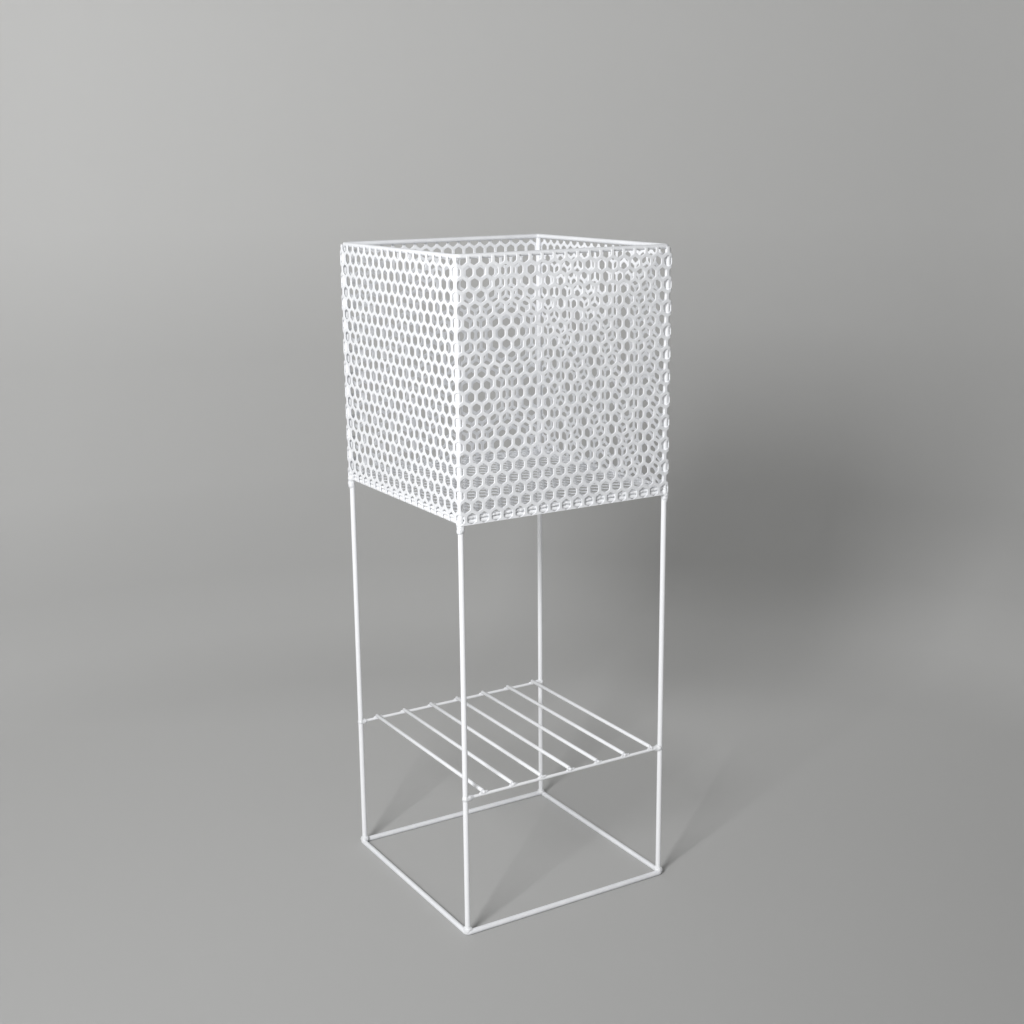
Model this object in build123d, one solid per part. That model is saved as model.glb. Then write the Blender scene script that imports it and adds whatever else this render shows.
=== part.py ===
from build123d import *
import math
import os

# Raised metal planter. A frame of welded round rod carries a basket of hexagon mesh at
# the top and an open shelf of bars near the ground. Sizes are in millimetres, +Z is up,
# and the origin is on the ground under the middle of the base ring.

# Overall sizes
post_spacing = 300.0       # between post centrelines, across and front to back
rim_height = 850.0         # ground to the centreline of the rim ring
basket_depth = 311.0       # rim centreline down to the centrelines of the floor rods
shelf_height = 186.0       # ground to the centrelines of the shelf rails

# Rod diameters
post_rod = 7.0
base_rod = 7.0
rim_rod = 6.0
floor_rod = 6.0
rail_rod = 4.0
bar_rod = 5.0

# Rings, each one rod bent to a square
base_overhang = 2.5        # base ring centreline outside the post centrelines
base_bend = 8.0            # outside radius of the base ring's tight corners
rim_bend = 8.0             # outside radius of the rim ring's tight corners

# Shelf bars
bar_count = 7
first_bar_gap = 25.0       # left posts' centreline to the first bar
last_bar_gap = 16.0        # last bar to the right posts' centreline

# Hexagon mesh
sheet = 1.5                # thickness of the mesh sheet
bend_relief = 1.0          # how much tighter the sheet is bent than the post inside the bend
columns = 7                # holes across one wall
web = 12.0                 # strip of sheet between neighbouring holes
wall_border = 5.0          # plain strip under the lowest holes of a wall
floor_border = 10.0        # least plain strip round the basket floor's holes
floor_overlap = 2.0        # how far the basket floor reaches past its rods' centrelines
notch_clearance = 0.5      # gap between the basket floor and a post

# Keeps the rounding of a ring's corners off its straight sides
side_clearance = 0.01

# Derived places
half_span = post_spacing / 2
post_bottom = base_rod
post_top = rim_height - rim_rod / 2
floor_level = rim_height - basket_depth
floor_sheet_bottom = floor_level + floor_rod / 2
wall_bottom = floor_level - floor_rod / 2
wall_top = rim_height
wall_height = wall_top - wall_bottom
wall_inside = half_span + max(post_rod, rim_rod, floor_rod) / 2
wall_outside = wall_inside + sheet
inside_bend = post_rod / 2 - bend_relief
floor_side = post_spacing + 2 * floor_overlap

# Derived hole pattern
hole_pitch = (wall_inside + wall_outside) / columns
hole_width = hole_pitch - web
regular_row_pitch = hole_pitch * math.sqrt(3) / 2
hole_point = hole_width / math.sqrt(3)

sides = ["front", "right", "back", "left"]
reach = 2 * post_spacing   # longer than any run from the middle to past a wall


def hexagon(width, height):
    """A hexagon that stands on its point, by its width and its height."""
    half = width / 2
    shoulder = height / 4
    return Polygon(
        (0, -height / 2), (half, -shoulder), (half, shoulder),
        (0, height / 2), (-half, shoulder), (-half, -shoulder),
        align=None,
    )


def centred_steps(count, pitch):
    """Places of evenly spaced things on both sides of zero."""
    return [(index - (count - 1) / 2) * pitch for index in range(count)]


def turned(shape, side):
    """A front piece turned to another side of the square."""
    return Rot(0, 0, 90 * sides.index(side)) * shape


def front_wedge(bottom, top):
    """The front quarter of the square, out to its corners' diagonals."""
    outline = Polygon((0, 0), (-reach, -reach), (reach, -reach), align=None)
    return Pos(0, 0, bottom) * extrude(outline, top - bottom)


def rod_along_x(diameter, length):
    """A straight rod, centred and lying from side to side."""
    return Rot(0, 90, 0) * Cylinder(diameter / 2, length)


def bent_ring(span, rod, bend, level):
    """A rod bent to a square. The corners are so tight that only their outside is round."""
    run = Pos(0, -span / 2, 0) * rod_along_x(rod, span + 2 * rod) & front_wedge(-rod, rod)
    ring = Part() + [turned(run, side) for side in sides]
    clear_of_sides = span + rod + 2 * side_clearance
    rounding = extrude(RectangleRounded(clear_of_sides, clear_of_sides, bend), rod, both=True)
    return Pos(0, 0, level) * (ring & rounding)


def corner_posts():
    """The four posts, standing on the base ring and ending under the rim ring."""
    rod = Pos(0, 0, (post_bottom + post_top) / 2) * Cylinder(post_rod / 2, post_top - post_bottom)
    return {
        f"post_{along}_{across}": Pos(x, y, 0) * rod
        for along, y in (("front", -half_span), ("back", half_span))
        for across, x in (("left", -half_span), ("right", half_span))
    }


def floor_rod_piece(posts):
    """The front rod under the basket floor, fitted between two posts."""
    rod = Pos(0, -half_span, floor_level) * rod_along_x(floor_rod, post_spacing)
    quarter = front_wedge(floor_level - floor_rod, floor_level + floor_rod)
    return (rod & quarter) - posts


def rail(y, posts):
    """A shelf rail, fitted between two posts."""
    return Pos(0, y, shelf_height) * rod_along_x(rail_rod, post_spacing) - posts


def bar(x):
    """A shelf bar, lying on top of both rails and ending flush with their outsides."""
    level = shelf_height + rail_rod / 2 + bar_rod / 2
    return Pos(x, 0, level) * Rot(90, 0, 0) * Cylinder(bar_rod / 2, post_spacing + rail_rod)


def wall_rows():
    """How much the holes of a wall are stretched upwards, and the level of each row.

    The top edge runs through the middle of the top row, so that row is left open and
    the webs between its holes end on the rim. The stretch evens out the rows, so that
    the lowest one stops at the border.
    """
    room = wall_height - wall_border
    steps = max(1, round((room - hole_point) / regular_row_pitch))
    stretch = room / (steps * regular_row_pitch + hole_point)
    pitch = regular_row_pitch * stretch
    return stretch, [wall_top - row * pitch for row in range(steps + 1)]


def wall():
    """The front wall of the wrap, out to the middle of its bends."""
    outer = RectangleRounded(2 * wall_outside, 2 * wall_outside, inside_bend + sheet)
    inner = RectangleRounded(2 * wall_inside, 2 * wall_inside, inside_bend)
    quarter = front_wedge(wall_bottom, wall_top)
    panel = Pos(0, 0, wall_bottom) * extrude(outer - inner, wall_height) & quarter

    stretch, rows = wall_rows()
    height = 2 * hole_point * stretch
    whole = hexagon(hole_width, height)
    folded = hexagon(hole_width / math.sqrt(2), height)
    corner = (wall_inside + wall_outside) / 2
    flat_holes = []
    corner_holes = []
    for row, level in enumerate(rows):
        staggered = row % 2
        flat_holes += [Pos(x, level) * whole for x in centred_steps(columns - staggered, hole_pitch)]
        if staggered:
            corner_holes.append(Pos(0, level) * folded)
    panel -= extrude(Plane.XZ * (Sketch() + flat_holes), reach)
    for end in (-1, 1):
        diagonal = Plane(origin=(end * corner, -corner, 0), x_dir=(1, end, 0), z_dir=(end, -1, 0))
        panel -= extrude(diagonal * (Sketch() + corner_holes), hole_width, both=True)
    return panel


def basket_floor():
    """The mesh floor, lying on the floor rods and notched round the posts."""
    plate = Pos(0, 0, sheet / 2) * Box(floor_side, floor_side, sheet)
    room = floor_side - 2 * floor_border
    row_count = int((room - 2 * hole_point) / regular_row_pitch) + 1
    column_count = int((room - hole_width) / hole_pitch) + 1
    hole = hexagon(hole_width, 2 * hole_point)
    holes = []
    for row, y in enumerate(centred_steps(row_count, regular_row_pitch)):
        holes += [Pos(x, y) * hole for x in centred_steps(column_count - row % 2, hole_pitch)]
    plate -= extrude(Sketch() + holes, sheet)
    notch_side = post_rod + 2 * notch_clearance
    notch = Box(notch_side, notch_side, 3 * sheet)
    for x in (-half_span, half_span):
        for y in (-half_span, half_span):
            plate -= Pos(x, y, 0) * notch
    return Pos(0, 0, floor_sheet_bottom) * plate


def pieces():
    """Every piece of the planter by name."""
    named = corner_posts()
    posts = list(named.values())
    named["base_ring"] = bent_ring(post_spacing + 2 * base_overhang, base_rod, base_bend, base_rod / 2)
    named["rim_ring"] = bent_ring(post_spacing, rim_rod, rim_bend, rim_height)

    front_floor_rod = floor_rod_piece(posts)
    front_wall = wall()
    for side in sides:
        named[f"floor_rod_{side}"] = turned(front_floor_rod, side)
        named[f"mesh_wall_{side}"] = turned(front_wall, side)
    named["mesh_floor"] = basket_floor()

    named["shelf_rail_front"] = rail(-half_span, posts)
    named["shelf_rail_back"] = rail(half_span, posts)
    bar_pitch = (post_spacing - first_bar_gap - last_bar_gap) / (bar_count - 1)
    for index in range(bar_count):
        named[f"shelf_bar_{index + 1}"] = bar(first_bar_gap - half_span + index * bar_pitch)
    return named


os.makedirs("parts", exist_ok=True)
for name, solid in pieces().items():
    export_step(solid, f"parts/{name}.step")
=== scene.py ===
import math
import random

import bmesh
import bpy
from mathutils import Matrix, Vector, noise


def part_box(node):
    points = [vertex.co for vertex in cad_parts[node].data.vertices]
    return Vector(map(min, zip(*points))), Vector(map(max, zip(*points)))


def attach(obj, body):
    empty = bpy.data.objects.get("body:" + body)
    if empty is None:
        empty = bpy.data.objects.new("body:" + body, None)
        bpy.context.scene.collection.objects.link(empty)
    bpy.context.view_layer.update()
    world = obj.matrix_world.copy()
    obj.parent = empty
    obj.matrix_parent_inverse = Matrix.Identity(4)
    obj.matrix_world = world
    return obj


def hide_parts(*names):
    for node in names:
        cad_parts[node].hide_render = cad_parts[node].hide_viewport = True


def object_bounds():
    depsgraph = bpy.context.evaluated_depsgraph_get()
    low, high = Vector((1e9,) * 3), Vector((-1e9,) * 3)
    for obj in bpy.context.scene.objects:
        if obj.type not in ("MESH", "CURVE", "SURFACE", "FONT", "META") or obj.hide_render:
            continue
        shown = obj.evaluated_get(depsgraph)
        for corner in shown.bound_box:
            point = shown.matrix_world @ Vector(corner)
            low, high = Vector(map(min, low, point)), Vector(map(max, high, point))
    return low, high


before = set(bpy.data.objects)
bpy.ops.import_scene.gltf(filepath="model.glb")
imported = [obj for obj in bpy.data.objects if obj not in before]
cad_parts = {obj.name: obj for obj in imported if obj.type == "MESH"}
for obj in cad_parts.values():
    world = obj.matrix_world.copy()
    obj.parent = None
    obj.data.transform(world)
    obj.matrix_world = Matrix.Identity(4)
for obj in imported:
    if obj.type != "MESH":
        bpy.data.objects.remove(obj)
cadLow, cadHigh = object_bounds()     # the planter's own box, which nothing below passes

# Raised metal planter: a welded rod stand and a basket of hexagon mesh, powder coated white.
# Everything is in metres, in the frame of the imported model.

sides = ["front", "right", "back", "left"]      # each a quarter turn on from the last
corners = [("front", "left"), ("front", "right"), ("back", "left"), ("back", "right")]


def middleOf(node):
    low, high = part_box(node)
    return (low + high) / 2


def sizeOf(node):
    low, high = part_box(node)
    return high - low


def quarterTurn(side):
    return Matrix.Rotation(math.radians(90) * sides.index(side), 3, "Z")


def insideBox(point, low, high):        # a weld or seam never makes the planter larger
    return Vector(min(max(value, least), most) for value, least, most in zip(point, low, high))


def showPiece(name, mesh, finish, *nodes):
    piece = bpy.data.objects.new(name, mesh)
    bpy.context.scene.collection.objects.link(piece)
    mesh.materials.append(finish)
    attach(piece, "root")
    if nodes:
        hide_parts(*nodes)
    return piece


# Finishes. Scales are in bumps or patches per metre, depths in metres.

rodCoat = {
    "colour": (0.855, 0.868, 0.892),
    "thinColour": (0.80, 0.812, 0.84),      # where the powder lies a little thinner
    "edgeHighlightColour": (0.89, 0.90, 0.92),       # painted highlight, paler where a sharp edge catches the light
    "patchScale": 45,
    "patchRange": (0.35, 0.65),             # of the noise, from thin powder to full colour
    "highlightEdgeRange": (0.52, 0.64),              # how sharp an edge has to be to get the painted highlight
    "roughness": (0.36, 0.50),
    "smudgeScale": 130,
    "peelScale": 900,
    "peelDepth": 0.00005,
    "lumpScale": 160,
    "lumpDepth": 0.00008,
}
sheetCoat = {**rodCoat, "patchScale": 28, "roughness": (0.40, 0.54), "lumpScale": 90}
weldCoat = {**rodCoat, "thinColour": (0.76, 0.77, 0.79), "patchScale": 220, "lumpScale": 420,
            "lumpDepth": 0.00022}


def addNode(tree, kind, **values):
    node = tree.nodes.new(kind)
    for name, value in values.items():
        if name in node.inputs:
            node.inputs[name].default_value = value
        else:
            setattr(node, name, value)
    return node


def powderCoat(name, coat):
    material = bpy.data.materials.new(name)
    material.use_nodes = True
    tree = material.node_tree
    link = tree.links.new
    surface = tree.nodes["Principled BSDF"]
    surface.inputs["Specular IOR Level"].default_value = 0.5
    surface.inputs["Coat Weight"].default_value = 0.12
    surface.inputs["Coat Roughness"].default_value = 0.3
    place = addNode(tree, "ShaderNodeTexCoord").outputs["Object"]

    # thin patches, then a painted highlight on the sharp edges
    patches = addNode(tree, "ShaderNodeTexNoise", Scale=coat["patchScale"], Detail=3)
    low, high = coat["patchRange"]
    patchRange = addNode(tree, "ShaderNodeMapRange", **{"From Min": low, "From Max": high})
    tone = addNode(tree, "ShaderNodeMix", data_type="RGBA")
    tone.inputs[6].default_value = (*coat["thinColour"], 1)
    tone.inputs[7].default_value = (*coat["colour"], 1)
    # painted highlight: sharp edges, found by pointiness, get a paler colour
    highlightMix = addNode(tree, "ShaderNodeMix", data_type="RGBA")
    highlightMix.inputs[7].default_value = (*coat["edgeHighlightColour"], 1)
    shape = addNode(tree, "ShaderNodeNewGeometry")
    low, high = coat["highlightEdgeRange"]
    highlightEdgeRange = addNode(tree, "ShaderNodeMapRange", **{"From Min": low, "From Max": high})
    link(place, patches.inputs["Vector"])
    link(patches.outputs["Fac"], patchRange.inputs["Value"])
    link(patchRange.outputs["Result"], tone.inputs["Factor"])
    link(shape.outputs["Pointiness"], highlightEdgeRange.inputs["Value"])
    link(highlightEdgeRange.outputs["Result"], highlightMix.inputs["Factor"])
    link(tone.outputs[2], highlightMix.inputs[6])
    link(highlightMix.outputs[2], surface.inputs["Base Color"])

    smudges = addNode(tree, "ShaderNodeTexNoise", Scale=coat["smudgeScale"], Detail=2)
    low, high = coat["roughness"]
    gloss = addNode(tree, "ShaderNodeMapRange", **{"To Min": low, "To Max": high})
    link(place, smudges.inputs["Vector"])
    link(smudges.outputs["Fac"], gloss.inputs["Value"])
    link(gloss.outputs["Result"], surface.inputs["Roughness"])

    # soft lumps under the fine orange peel of baked powder
    lumps = addNode(tree, "ShaderNodeTexNoise", Scale=coat["lumpScale"], Detail=1)
    peel = addNode(tree, "ShaderNodeTexNoise", Scale=coat["peelScale"], Detail=1)
    lumpBump = addNode(tree, "ShaderNodeBump", Distance=coat["lumpDepth"])
    peelBump = addNode(tree, "ShaderNodeBump", Distance=coat["peelDepth"])
    link(place, lumps.inputs["Vector"])
    link(place, peel.inputs["Vector"])
    link(lumps.outputs["Fac"], lumpBump.inputs["Height"])
    link(peel.outputs["Fac"], peelBump.inputs["Height"])
    link(lumpBump.outputs["Normal"], peelBump.inputs["Normal"])
    link(peelBump.outputs["Normal"], surface.inputs["Normal"])
    return material


rodFinish = powderCoat("rodPowderCoat", rodCoat)
sheetFinish = powderCoat("meshPowderCoat", sheetCoat)
weldFinish = powderCoat("weldPowderCoat", weldCoat)
print("finishes made")


# Straight rods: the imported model's own shapes, with the coat on them.

straightRods = [f"post_{depth}_{across}" for depth, across in corners]
straightRods += [f"floor_rod_{side}" for side in sides]
straightRods += ["shelf_rail_front", "shelf_rail_back"]

for name in straightRods:
    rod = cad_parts[name]
    if not rod.material_slots:
        rod.data.materials.append(rodFinish)
    for materialSlot in rod.material_slots:
        materialSlot.material = rodFinish
print("straight rods coated:", len(straightRods))


# Shelf bars: their ends are cut a little short and stop on the rails, under the welds.

shelfBar = {
    "shortBy": 0.0028,          # at each end
    "endRound": 0.0005,
    "around": 24,
    "sharpAngle": 50,           # edges sharper than this, in degrees, aren't shaded smooth
}
shelfBars = sorted(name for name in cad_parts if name.startswith("shelf_bar_"))


def cutBar(node):
    middle, size = middleOf(node), sizeOf(node)
    rod = size.x / 2
    end = size.y / 2 - shelfBar["shortBy"]
    corner = shelfBar["endRound"]
    profile = [(end, rod - 2 * corner), (end, rod - corner), (end - corner, rod)]
    rings = [(-along, radius) for along, radius in profile]
    rings += [(along, radius) for along, radius in reversed(profile)]
    around = shelfBar["around"]
    points = []
    for along, radius in rings:
        for step in range(around):
            angle = math.tau * step / around
            offset = Vector((radius * math.cos(angle), along, radius * math.sin(angle)))
            points.append(middle + offset)
    faces = [list(range(around)), list(range(len(points) - 1, len(points) - around - 1, -1))]
    for ring in range(len(rings) - 1):
        for step in range(around):
            beside = (step + 1) % around
            faces.append((ring * around + step, (ring + 1) * around + step,
                          (ring + 1) * around + beside, ring * around + beside))
    mesh = bpy.data.meshes.new(node)
    mesh.from_pydata(points, [], faces)
    mesh.shade_smooth()
    mesh.set_sharp_from_angle(angle=math.radians(shelfBar["sharpAngle"]))
    name = node.replace("shelf_bar_", "cutBar_")
    return showPiece(name, mesh, rodFinish, node)


for node in shelfBars:
    cutBar(node)
print("shelf bars cut:", len(shelfBars))


# Rings, each one rod bent to a square and butt welded once.

baseRing = {
    "node": "base_ring",
    "bend": 0.008,              # outside radius of the tight corners
    "seamSide": "back",
    "seamPlace": 0.069,         # along that side, to its right seen from outside
    "seamHeight": 0.00035,
    "seamWidth": 0.0012,
    "seamEven": 0.75,           # share of the seam's height that is even
    "seamRough": 0.5,           # share that the lumps add or take away
    "seamLumps": 3,
}
rimRing = {**baseRing, "node": "rim_ring", "seamPlace": -0.075}
ringDetail = {"around": 28, "alongBend": 10, "seamStep": 0.0004, "seamReach": 0.004}


def ringStations(half, bend, seamPlace):      # along the front side and round its right bend
    run = half - bend
    steps = math.ceil(ringDetail["seamReach"] / ringDetail["seamStep"])
    seam = [seamPlace + step * ringDetail["seamStep"] for step in range(-steps, steps + 1)]
    stations = [(Vector((x, -half)), Vector((0, -1)), x) for x in [-run, *seam]]
    for step in range(ringDetail["alongBend"]):
        turn = math.radians(90) * step / ringDetail["alongBend"]
        out = Vector((math.sin(turn), -math.cos(turn)))
        stations.append((Vector((run, -run)) + bend * out, out, None))
    return stations


def bentRing(name, ring):
    low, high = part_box(ring["node"])
    rod = (high - low).z / 2
    level = (low + high).z / 2
    half = (high - low).x / 2 - rod
    around = ringDetail["around"]
    points = []
    for side in sides:
        turn = quarterTurn(side)
        for at, out, along in ringStations(half, ring["bend"] - rod, ring["seamPlace"]):
            for step in range(around):
                angle = math.tau * step / around
                radius = rod
                if side == ring["seamSide"] and along is not None:
                    offset = (along - ring["seamPlace"]) / ring["seamWidth"]
                    spot = Vector((ring["seamLumps"] * angle, offset, level))
                    lump = ring["seamEven"] + ring["seamRough"] * noise.noise(spot)
                    radius += ring["seamHeight"] * lump * math.exp(-offset * offset)
                flat = at + out * radius * math.cos(angle)
                point = turn @ Vector((*flat, level + radius * math.sin(angle)))
                points.append(insideBox(point, low, high))
    count = len(points) // around
    faces = []
    for station in range(count):
        ahead = (station + 1) % count
        for step in range(around):
            beside = (step + 1) % around
            faces.append((station * around + step, ahead * around + step,
                          ahead * around + beside, station * around + beside))
    mesh = bpy.data.meshes.new(name)
    mesh.from_pydata(points, [], faces)
    mesh.shade_smooth()
    return showPiece(name, mesh, rodFinish, ring["node"])


bentRing("baseRingRod", baseRing)
bentRing("rimRingRod", rimRing)
print("rings bent")


# Hexagon mesh. One strip wraps the basket: it starts and ends over the back right post,
# and its holes are lined up on the front left bend.

basketMesh = {
    "holeSpacing": 0.0167,
    "rowPitch": 0.01446,
    "rows": 23,
    "topRow": 0.0031,           # middle of the top row, below the top edge of the walls
    "web": 0.0043,              # strip of sheet between two holes
    "cornerRound": 0.0014,
    "edgeRound": 0.00045,       # the coat rounds off the edges of the holes
    "sharpAngle": 38,           # edges sharper than this, in degrees, aren't shaded smooth
    "insideBend": 0.0025,
    "bendCuts": 4,
    "trim": {"front": 0.0, "right": 0.0012, "back": 0.0018, "left": 0.0027},    # at the bottom
    "ripple": 0.0003,           # how far the sheet strays from flat
    "rippleScale": 16,
}
basketFloor = {
    "postGap": 0.004,           # from a post's centreline to the cut-out round it
    "holeSpacing": 0.0167,
}
wallMiddles = {"back": -3, "left": -1, "front": 1, "right": 3}    # in half walls along the strip


def hexCorners(width, height):
    right, low = width / 2, height / 4
    rightSide = [(0, -2 * low), (right, -low), (right, low)]
    leftSide = [(0, 2 * low), (-right, low), (-right, -low)]
    return [Vector(corner) for corner in rightSide + leftSide]


def holeOutline(columnPitch, rowPitch, web):    # three points round each corner
    share = 1 - web / columnPitch
    corner = hexCorners(columnPitch * share, rowPitch * 4 / 3 * share)
    outline = []
    for index in range(6):
        back = (corner[index - 1] - corner[index]).normalized() * basketMesh["cornerRound"]
        ahead = (corner[(index + 1) % 6] - corner[index]).normalized() * basketMesh["cornerRound"]
        outline += [corner[index] + back, corner[index] + (back + ahead) / 4, corner[index] + ahead]
    return outline


def flatMesh(rows, columnPitch, rowPitch):      # rows: level, first hole, how many holes
    edge = basketMesh["edgeRound"]
    cell = hexCorners(columnPitch, rowPitch * 4 / 3)
    rim = holeOutline(columnPitch, rowPitch, basketMesh["web"] - 2 * edge)
    hole = holeOutline(columnPitch, rowPitch, basketMesh["web"])
    sheet = bmesh.new()
    for level, start, count in rows:
        for column in range(count):
            centre = Vector((start + column * columnPitch, level))
            outer = [sheet.verts.new((*(centre + corner), 0)) for corner in cell]
            ring = [sheet.verts.new((*(centre + point), 0)) for point in rim]
            inner = [sheet.verts.new((*(centre + point), edge)) for point in hole]
            for index in range(6):
                first, second, third = ring[3 * index:3 * index + 3]
                ahead = (index + 1) % 6
                sheet.faces.new((outer[index], second, first))
                sheet.faces.new((outer[index], third, second))
                sheet.faces.new((outer[index], outer[ahead], ring[3 * ahead], third))
            for index in range(18):
                ahead = (index + 1) % 18
                sheet.faces.new((ring[index], ring[ahead], inner[ahead], inner[index]))
    bmesh.ops.remove_doubles(sheet, verts=sheet.verts, dist=1e-6)
    return sheet


def cutMesh(sheet, point, direction, trim):
    everything = sheet.verts[:] + sheet.edges[:] + sheet.faces[:]
    bmesh.ops.bisect_plane(sheet, geom=everything, dist=1e-7, plane_co=point,
                           plane_no=direction, clear_outer=trim)


def thickMesh(name, sheet, place, thickness):   # a flat point's z is how far its edge is rounded
    sheet.verts.index_update()
    count = len(sheet.verts)
    points = [place(vert.co, face * (thickness / 2 - vert.co.z)) for face in (1, -1)
              for vert in sheet.verts]
    faces = []
    for face in sheet.faces:
        around = [vert.index for vert in face.verts]
        faces += [around, [index + count for index in reversed(around)]]
    for edge in sheet.edges:
        if edge.is_boundary:
            loop = edge.link_loops[0]
            here, ahead = loop.vert.index, loop.link_loop_next.vert.index
            faces.append([ahead, here, here + count, ahead + count])
    sheet.free()
    mesh = bpy.data.meshes.new(name)
    mesh.from_pydata(points, [], faces)
    mesh.shade_smooth()
    mesh.set_sharp_from_angle(angle=math.radians(basketMesh["sharpAngle"]))
    return mesh


def meshWall(side):
    node = f"mesh_wall_{side}"
    low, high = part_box("mesh_wall_front")
    outside = -low.y
    inside = middleOf("post_front_left").x * -1 + sizeOf("post_front_left").x / 2
    thickness = outside - inside
    bend = basketMesh["insideBend"] + thickness / 2
    run = (inside + outside) / 2 - bend         # half the straight part
    half = run + bend * math.radians(45)
    pitch = basketMesh["holeSpacing"]
    middle = wallMiddles[side] * half           # from the front left bend along the strip
    rows = []
    for row in range(basketMesh["rows"]):
        level = high.z - basketMesh["topRow"] - row * basketMesh["rowPitch"]
        onBend = row % 2                        # every second row has a hole over the bend
        first = math.floor((middle - half) / pitch) - 1 + (0 if onBend else 0.5)
        rows.append((level, first * pitch - middle, math.ceil(2 * half / pitch) + 3))
    sheet = flatMesh(rows, pitch, basketMesh["rowPitch"])
    bottom = low.z + basketMesh["trim"][side]
    cutMesh(sheet, (0, high.z, 0), (0, 1, 0), True)
    cutMesh(sheet, (0, bottom, 0), (0, -1, 0), True)
    for way in (-1, 1):
        cutMesh(sheet, (way * half, 0, 0), (way, 0, 0), True)
        for cut in range(basketMesh["bendCuts"]):
            place = run + (half - run) * cut / basketMesh["bendCuts"]
            cutMesh(sheet, (way * place, 0, 0), (1, 0, 0), False)
    turn = quarterTurn(side)
    seed = 7.0 * sides.index(side)

    def wrap(point, depth):
        along = min(abs(point.x), run)
        angle = (abs(point.x) - along) / bend
        out = Vector((math.copysign(math.sin(angle), point.x), -math.cos(angle)))
        base = Vector((math.copysign(along, point.x), -run))
        upTheWall = (high.z - point.y) / (high.z - low.z)
        calm = (1 - (along / run) ** 4) * math.sin(math.pi * upTheWall)     # flat at its edges
        scale = basketMesh["rippleScale"]
        wave = noise.noise(Vector((point.x * scale, point.y * scale, seed)))
        flat = base + out * (bend + depth + basketMesh["ripple"] * calm * wave)
        return turn @ Vector((*flat, point.y))

    mesh = thickMesh(f"hexWall_{side}", sheet, wrap, thickness)
    return showPiece(f"hexWall_{side}", mesh, sheetFinish, node)


def meshFloor():
    low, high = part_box("mesh_floor")
    half = high.x
    pitch = basketFloor["holeSpacing"]
    rowPitch = pitch * math.sqrt(3) / 2
    count = math.ceil(half / pitch) + 1
    rowCount = math.ceil(half / rowPitch) + 1
    rows = []
    for row in range(-rowCount, rowCount + 1):
        shift = pitch / 2 if row % 2 else 0
        rows.append((row * rowPitch, -count * pitch + shift, 2 * count + 1))
    sheet = flatMesh(rows, pitch, rowPitch)
    notch = middleOf("post_back_right").x - basketFloor["postGap"]
    for direction in ((1, 0, 0), (-1, 0, 0), (0, 1, 0), (0, -1, 0)):
        cutMesh(sheet, Vector(direction) * half, direction, True)
        cutMesh(sheet, Vector(direction) * notch, direction, False)
    atPosts = []
    for face in sheet.faces:
        middle = face.calc_center_median()
        if abs(middle.x) > notch and abs(middle.y) > notch:
            atPosts.append(face)
    bmesh.ops.delete(sheet, geom=atPosts, context="FACES")
    level = (low.z + high.z) / 2
    mesh = thickMesh("hexFloor", sheet, lambda at, depth: Vector((at.x, at.y, level + depth)),
                     high.z - low.z)
    return showPiece("hexFloor", mesh, sheetFinish, "mesh_floor")


for side in sides:
    meshWall(side)
meshFloor()
print("basket mesh cut and wrapped")


# Weld beads: lumpy drops of metal that flow together, under the same coat.

weldBeads = {
    "voxel": 0.0005,
    "smoothing": 4,
    "roughen": 0.0005,
    "roughenScale": 330,
    "postFoot": 0.0059,         # reach of the bead from a post's centreline
    "footCore": {"out": 0.0012, "down": 0.0006, "thick": 0.0046},
    "postTop": 0.0044,
    "topCore": {"inward": 0.0006, "thick": 0.0034},
    "collarDrops": 10,
    "collarSink": 0.62,         # how far into the post the drops reach, as a share of its radius
    "collarStray": 0.0003,
    "collarSizes": (0.9, 1.08),
    "basketCorner": [(-0.003, 0.0040), (0.001, 0.0050), (0.0045, 0.0054), (0.008, 0.0049),
                     (0.0115, 0.0041)],         # how far below the floor rods, and how thick
    "cornerOut": 0.0004,
    "cornerStray": 0.0008,
    "cornerSizes": (0.92, 1.04),
    "railEnd": [(0.0, 0.0046), (0.0028, 0.0048), (0.0055, 0.0040), (0.008, 0.0030),
                (0.0104, 0.0023)],              # how far along the rail, and how thick
    "railStray": 0.0005,
    "railSizes": (0.92, 1.06),
    "barEnd": 0.0020,
    "barStray": 0.0003,
}
barTails = [                    # weld on each side of a bar's end, reaching in bar radii
    {"way": 1, "lift": 0.0004, "full": 1.3, "taper": 0.24, "reaches": (0.6, 1.1, 1.7, 2.3, 2.9)},
    {"way": -1, "lift": 0, "full": 1.1, "taper": 0.3, "reaches": (0.6, 1.1, 1.5)},
]
dice = random.Random(12)


def jitter(size):
    return Vector(dice.uniform(-size, size) for axis in range(3))


def collarBalls(centre, reach):     # a ring of drops round a post
    drop = reach - postRadius * weldBeads["collarSink"]
    turns = weldBeads["collarDrops"]
    balls = []
    for step in range(turns):
        angle = math.tau * step / turns
        spot = centre + Vector((math.cos(angle), math.sin(angle), 0)) * (reach - drop)
        spot += jitter(weldBeads["collarStray"])
        balls.append((spot, drop * dice.uniform(*weldBeads["collarSizes"])))
    return balls


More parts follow.
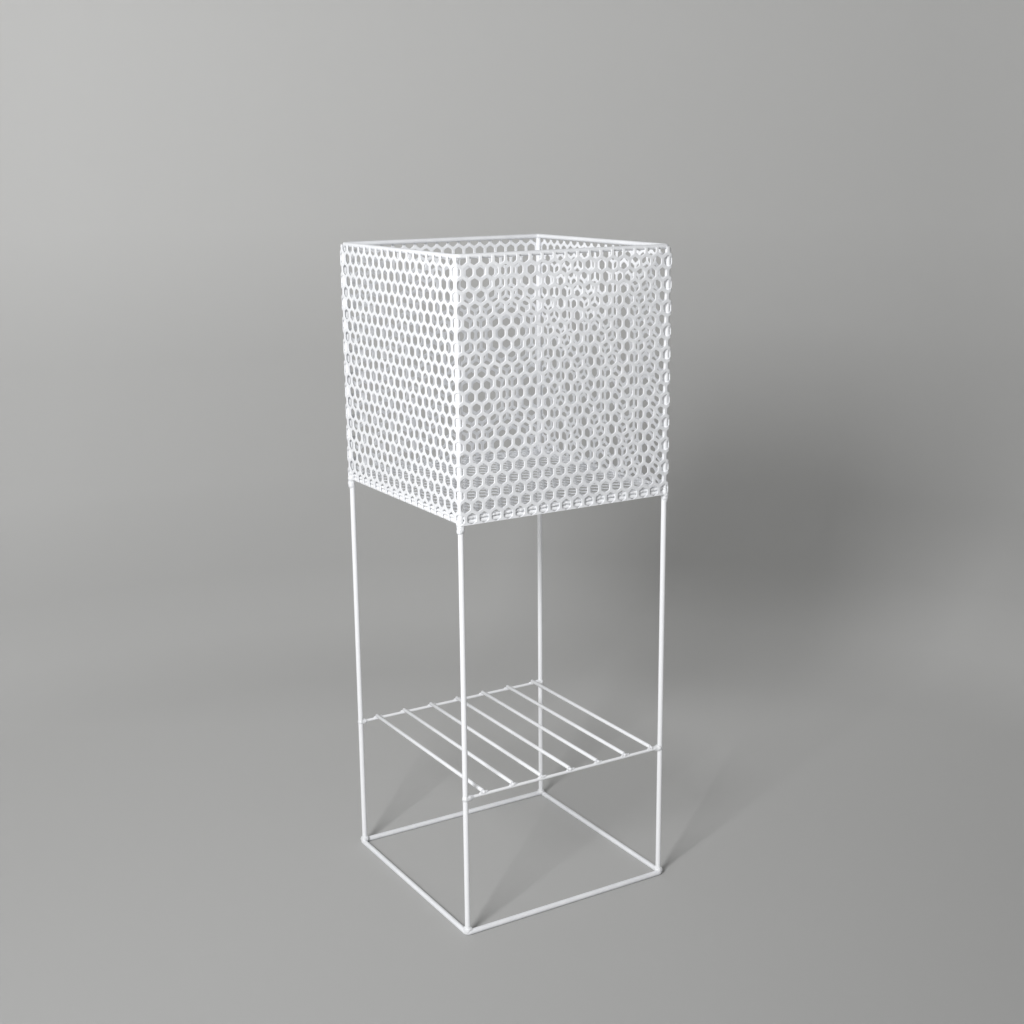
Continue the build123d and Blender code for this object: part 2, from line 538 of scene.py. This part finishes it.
def weldPiece(name, balls):
    lumps = bmesh.new()
    for centre, radius in balls:
        bmesh.ops.create_icosphere(lumps, subdivisions=2, radius=radius,
                                   matrix=Matrix.Translation(centre))
    mesh = bpy.data.meshes.new(name)
    lumps.to_mesh(mesh)
    lumps.free()
    draft = bpy.data.objects.new(name + "Draft", mesh)
    bpy.context.scene.collection.objects.link(draft)
    remesh = draft.modifiers.new("flow", "REMESH")
    remesh.mode = "VOXEL"
    remesh.voxel_size = weldBeads["voxel"]
    smooth = draft.modifiers.new("soften", "SMOOTH")
    smooth.iterations = weldBeads["smoothing"]
    flowed = bpy.data.meshes.new_from_object(
        draft.evaluated_get(bpy.context.evaluated_depsgraph_get()))
    bpy.data.objects.remove(draft)
    bpy.data.meshes.remove(mesh)
    flowed.name = name
    for vert in flowed.vertices:
        wave = noise.noise_vector(vert.co * weldBeads["roughenScale"])
        vert.co = insideBox(vert.co + wave * weldBeads["roughen"], cadLow, cadHigh)
    flowed.shade_smooth()
    flowed.materials.clear()
    return showPiece(name, flowed, weldFinish)


def postSpots():        # centreline and outward direction of each post
    for depth, across in corners:
        middle = middleOf(f"post_{depth}_{across}")
        yield middle, Vector((math.copysign(1, middle.x), math.copysign(1, middle.y), 0))


postRadius = sizeOf("post_front_left").x / 2
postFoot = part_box("post_front_left")[0].z
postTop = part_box("post_front_left")[1].z
floorRodLevel = middleOf("floor_rod_front").z
railLevel = middleOf("shelf_rail_front").z
railRadius = sizeOf("shelf_rail_front").y / 2

footBalls, topBalls, basketBalls, railBalls, barBalls = [], [], [], [], []
for middle, out in postSpots():
    foot = Vector((middle.x, middle.y, postFoot))
    core = weldBeads["footCore"]
    footBalls += collarBalls(foot, weldBeads["postFoot"])
    footBalls.append((foot + out * core["out"] - Vector((0, 0, core["down"])), core["thick"]))
    top = Vector((middle.x, middle.y, postTop))
    core = weldBeads["topCore"]
    topBalls += collarBalls(top, weldBeads["postTop"])
    topBalls.append((top - out * core["inward"], core["thick"]))
    knee = Vector((middle.x, middle.y, floorRodLevel))
    for drop, size in weldBeads["basketCorner"]:
        spot = knee + out * weldBeads["cornerOut"] - Vector((0, 0, drop))
        spot += jitter(weldBeads["cornerStray"])
        basketBalls.append((spot, size * dice.uniform(*weldBeads["cornerSizes"])))
    along = Vector((-out.x, 0, 0))
    for reach, size in weldBeads["railEnd"]:
        spot = Vector((middle.x, middle.y, railLevel)) + along * reach
        spot += jitter(weldBeads["railStray"])
        railBalls.append((spot, size * dice.uniform(*weldBeads["railSizes"])))

for name in shelfBars:
    barMiddle = middleOf(name)
    barRadius = sizeOf(name).x / 2
    for rail in ("shelf_rail_front", "shelf_rail_back"):
        seat = Vector((barMiddle.x, middleOf(rail).y, railLevel + railRadius))
        for tail in barTails:
            for reach in tail["reaches"]:
                spot = seat + Vector((tail["way"] * barRadius * reach, 0, tail["lift"]))
                spot += jitter(weldBeads["barStray"])
                size = weldBeads["barEnd"] * (tail["full"] - tail["taper"] * reach)
                barBalls.append((spot, size))

weldPiece("footWelds", footBalls)
weldPiece("rimWelds", topBalls)
weldPiece("basketWelds", basketBalls)
weldPiece("railWelds", railBalls)
weldPiece("barWelds", barBalls)


# A lumpy seam inside the foot of the walls, where the basket floor meets them.

floorSeam = {
    "out": 0.1514,              # from the middle of the basket
    "level": 0.5443,
    "half": 0.1485,             # half its length along a wall
    "thick": 0.0021,
    "step": 0.0012,
    "around": 8,
    "lumps": 260,               # along the seam
    "lumpsAround": 1.3,
    "spread": 0.8,              # how much thicker and thinner it gets
    "sideShift": 9,             # keeps the four sides' lumps different
}


def seamBead():
    around, steps = floorSeam["around"], round(2 * floorSeam["half"] / floorSeam["step"])
    wide = floorSeam["lumpsAround"]
    points, faces = [], []
    for side in sides:
        turn = quarterTurn(side)
        first = len(points)
        for station in range(steps + 1):
            x = (2 * station / steps - 1) * floorSeam["half"]
            for step in range(around):
                angle = math.tau * step / around
                spot = Vector((x * floorSeam["lumps"], wide * math.cos(angle),
                               wide * math.sin(angle) + floorSeam["sideShift"] * first))
                radius = floorSeam["thick"] * (1 + floorSeam["spread"] * noise.noise(spot))
                point = Vector((x, -floorSeam["out"] - radius * math.cos(angle),
                                floorSeam["level"] + radius * math.sin(angle)))
                points.append(turn @ point)
        last = len(points) - around
        faces.append(list(range(first, first + around)))
        faces.append(list(range(last + around - 1, last - 1, -1)))
        for station in range(steps):
            here, ahead = first + station * around, first + (station + 1) * around
            for step in range(around):
                beside = (step + 1) % around
                faces.append((here + step, ahead + step, ahead + beside, here + beside))
    mesh = bpy.data.meshes.new("floorSeam")
    mesh.from_pydata(points, [], faces)
    mesh.shade_smooth()
    return showPiece("floorSeam", mesh, weldFinish)


seamBead()
print("welds laid")


# Studio: a round sweep of grey paper under soft light.

studio = {
    "centre": (-0.24, -0.40),
    "radius": 2.25,
    "curve": 1.0,
    "curveSteps": 16,
    "height": 3.0,
    "floorRings": (0.4, 0.8),
    "around": 96,
    "roughness": 0.9,
    "specular": 0.1,
    "paintedLightByHeight": [(0.0, 0.490), (0.03, 0.505), (0.1, 0.490), (0.25, 0.555), (0.5, 0.575),
               (0.8, 0.665), (1.25, 0.695)],    # height up the paper, and the painted light there: paler up the wall
    "tint": (1.0, 1.0, 0.99),
    "wallStart": 0.25,          # height at which the wall's painted falloff has taken over
}
floorPaintedFalloff = {"way": (0.517, 0.856, 0), "reach": 0.5, "start": 0.84, "end": 1.19}    # painted light falloff along the floor, darker near, paler far
wallPaintedFalloff = {"way": (0.856, -0.517, 0), "reach": 1.0, "start": 1.14, "end": 0.83}    # painted light falloff across the wall, paler left, darker right


def studioSweep():
    radius, curve = studio["radius"], studio["curve"]
    curveSteps = studio["curveSteps"]
    profile = [(reach, 0.0) for reach in (0.0, *studio["floorRings"], radius - curve)]
    for step in range(1, curveSteps + 1):
        turn = math.radians(90) * step / curveSteps
        profile.append((radius - curve + curve * math.sin(turn), curve * (1 - math.cos(turn))))
    profile.append((radius, studio["height"]))
    around = studio["around"]
    points = [(studio["centre"][0], studio["centre"][1], 0.0)]
    for reach, level in profile[1:]:
        for step in range(around):
            angle = math.tau * step / around
            points.append((studio["centre"][0] + reach * math.cos(angle),
                           studio["centre"][1] + reach * math.sin(angle), level))
    faces = [(0, 1 + step, 1 + (step + 1) % around) for step in range(around)]
    for ring in range(len(profile) - 2):
        here, ahead = 1 + ring * around, 1 + (ring + 1) * around
        for step in range(around):
            beside = (step + 1) % around
            faces.append((here + step, ahead + step, ahead + beside, here + beside))
    mesh = bpy.data.meshes.new("studioSweep")
    mesh.from_pydata(points, [], faces)
    mesh.shade_smooth()
    sweep = bpy.data.objects.new("studioSweep", mesh)
    bpy.context.scene.collection.objects.link(sweep)
    return sweep


def paperWithPaintedLight():
    material = bpy.data.materials.new("greyPaperPaintedLight")
    material.use_nodes = True
    tree = material.node_tree
    link = tree.links.new
    surface = tree.nodes["Principled BSDF"]
    surface.inputs["Roughness"].default_value = studio["roughness"]
    surface.inputs["Specular IOR Level"].default_value = studio["specular"]
    place = addNode(tree, "ShaderNodeTexCoord").outputs["Object"]
    height = addNode(tree, "ShaderNodeSeparateXYZ")
    link(place, height.inputs[0])

    # painted light: the paper gets paler up the wall
    highest = studio["paintedLightByHeight"][-1][0]
    upTheWall = addNode(tree, "ShaderNodeMapRange", **{"From Max": highest})
    ramp = addNode(tree, "ShaderNodeValToRGB")
    stops = ramp.color_ramp.elements
    while len(stops) < len(studio["paintedLightByHeight"]):
        stops.new(0.5)
    for stop, (level, grey) in zip(stops, studio["paintedLightByHeight"]):
        stop.position = level / highest
        stop.color = (*(grey * share for share in studio["tint"]), 1)
    link(height.outputs["Z"], upTheWall.inputs["Value"])
    link(upTheWall.outputs["Result"], ramp.inputs["Fac"])

    # and painted light falls off along the floor and across the wall
    paintedFalloffs = []
    for falloff in (floorPaintedFalloff, wallPaintedFalloff):
        along = addNode(tree, "ShaderNodeVectorMath", operation="DOT_PRODUCT")
        along.inputs[1].default_value = falloff["way"]
        link(place, along.inputs[0])
        spread = addNode(tree, "ShaderNodeMapRange",
                         **{"From Min": -falloff["reach"], "From Max": falloff["reach"],
                            "To Min": falloff["start"], "To Max": falloff["end"]})
        link(along.outputs["Value"], spread.inputs["Value"])
        paintedFalloffs.append(spread.outputs["Result"])
    onWall = addNode(tree, "ShaderNodeMapRange", interpolation_type="SMOOTHSTEP",
                     **{"From Max": studio["wallStart"]})
    blend = addNode(tree, "ShaderNodeMix")
    shade = addNode(tree, "ShaderNodeVectorMath", operation="SCALE")
    link(height.outputs["Z"], onWall.inputs["Value"])
    link(onWall.outputs["Result"], blend.inputs["Factor"])
    link(paintedFalloffs[0], blend.inputs["A"])
    link(paintedFalloffs[1], blend.inputs["B"])
    link(ramp.outputs["Color"], shade.inputs[0])
    link(blend.outputs["Result"], shade.inputs["Scale"])
    link(shade.outputs["Vector"], surface.inputs["Base Color"])
    return material


sweep = studioSweep()
sweep.data.materials.append(paperWithPaintedLight())

softBoxes = {
    "keyBox": {"azimuth": -55, "elevation": 24, "distance": 2.5, "size": 0.64, "power": 59},
    "topBox": {"azimuth": -40, "elevation": 62, "distance": 2.2, "size": 1.2, "power": 1.0},
}
aimHeight = 0.6
worldLight = 0.13


def softBox(name, box):
    lamp = bpy.data.lights.new(name, "AREA")
    lamp.shape = "SQUARE"
    lamp.size = box["size"]
    lamp.energy = box["power"]
    lampObject = bpy.data.objects.new(name, lamp)
    bpy.context.scene.collection.objects.link(lampObject)
    azimuth, elevation = math.radians(box["azimuth"]), math.radians(box["elevation"])
    away = Vector((math.sin(azimuth) * math.cos(elevation),
                   -math.cos(azimuth) * math.cos(elevation), math.sin(elevation)))
    lampObject.location = Vector((0, 0, aimHeight)) + away * box["distance"]
    lampObject.rotation_euler = (-away).to_track_quat("-Z", "Y").to_euler()
    lampObject.visible_camera = False
    return lampObject


for name, box in softBoxes.items():
    softBox(name, box)

world = bpy.data.worlds.new("studioWorld")
bpy.context.scene.world = world
world.use_nodes = True
world.node_tree.nodes["Background"].inputs["Color"].default_value = (1, 1, 1, 1)
world.node_tree.nodes["Background"].inputs["Strength"].default_value = worldLight
bpy.context.scene.view_settings.view_transform = "Standard"
print("studio lit")


# Camera at the photograph's viewing angle.

photoCamera = {
    "place": (-0.9676, -1.6218, 0.9650),
    "heading": -31.13,          # degrees from looking along +Y
    "downward": 13.80,
    "roll": -0.53,
    "lens": 51.56,
}

camera = bpy.data.objects.new("photoCamera", bpy.data.cameras.new("photoCamera"))
bpy.context.scene.collection.objects.link(camera)
camera.data.lens = photoCamera["lens"]
camera.data.sensor_width = 36
rotation = (Matrix.Rotation(math.radians(photoCamera["heading"]), 4, "Z")
            @ Matrix.Rotation(math.radians(90 - photoCamera["downward"]), 4, "X")
            @ Matrix.Rotation(math.radians(photoCamera["roll"]), 4, "Z"))
camera.matrix_world = Matrix.Translation(photoCamera["place"]) @ rotation
bpy.context.scene.camera = camera
